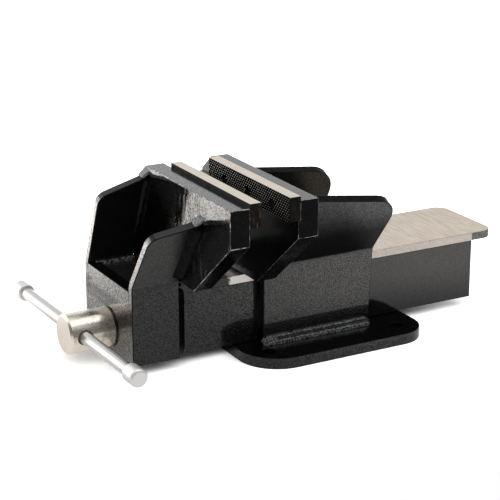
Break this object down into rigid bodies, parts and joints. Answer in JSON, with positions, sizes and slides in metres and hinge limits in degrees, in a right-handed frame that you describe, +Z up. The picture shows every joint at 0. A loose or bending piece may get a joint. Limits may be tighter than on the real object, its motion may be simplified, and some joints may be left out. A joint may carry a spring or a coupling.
{
  "type": "offset bench vise",
  "caption": "Offset bench vise welded from steel plate, with a sliding box jaw on a lead screw, knurled jaw inserts overhanging one side, a tommy bar and a bolt-down base.",
  "frame": {"origin": "centre of the four base bolts, on the underside of the base plate", "axes": "+X along the slide from the screw head to the tail, -Y towards the side that the jaws overhang, +Z up"},
  "size_m": [0.4496, 0.2981, 0.182],
  "materials": {
    "black_paint": "glossy black enamel with fine orange peel",
    "bare_plate": "bare ground steel",
    "insert_steel": "hardened steel, ground on top and knurled on the gripping face",
    "screw_steel": "black oxide",
    "strip_bronze": "bronze bearing strip",
    "nut_iron": "machined cast iron",
    "polished_steel": "polished bright steel",
    "spindle_steel": "oiled turned steel"
  },
  "bodies": {
    "body": {"base_plate": "black_paint", "body_side_near": "black_paint", "body_side_far": "black_paint", "bridge_plate": "black_paint", "fixed_jaw_plate": "black_paint", "fixed_jaw_insert": "insert_steel", "fixed_jaw_screws": "screw_steel", "guide_strip_near": "strip_bronze", "guide_strip_far": "strip_bronze", "lead_nut": "nut_iron", "nut_bolts": "screw_steel"},
    "moving_jaw": {"front_plate": "black_paint", "jaw_side_near": "black_paint", "jaw_side_far": "black_paint", "moving_jaw_plate": "black_paint", "moving_jaw_insert": "insert_steel", "moving_jaw_screws": "screw_steel", "slide_top_plate": "bare_plate", "slide_side_near": "black_paint", "slide_side_far": "black_paint"},
    "screw": {"screw_head": "polished_steel", "lead_screw": "spindle_steel", "thrust_washer": "spindle_steel", "retaining_collar": "spindle_steel", "collar_pin": "spindle_steel"},
    "tommy_bar": {"tommy_bar": "polished_steel", "bar_knob_near": "polished_steel", "bar_knob_far": "polished_steel"}
  },
  "joints": [
    {"name": "jaw_slide", "type": "slide", "parent": "body", "child": "moving_jaw", "axis": [1, 0, 0], "range_m": [-0.12, 0.027]},
    {"name": "screw_turn", "type": "hinge", "parent": "moving_jaw", "child": "screw", "pos_m": [-0.2304, 0, 0.034], "axis": [1, 0, 0], "range_deg": [-7205, 1625]},
    {"name": "bar_slide", "type": "slide", "parent": "screw", "child": "tommy_bar", "axis": [0, 0.9997, -0.0244], "range_m": [-0.108, 0.095]}
  ],
  "couplings": [
    {"joint": "screw_turn", "follows": "jaw_slide", "rad_per_m": 1047.2}
  ]
}
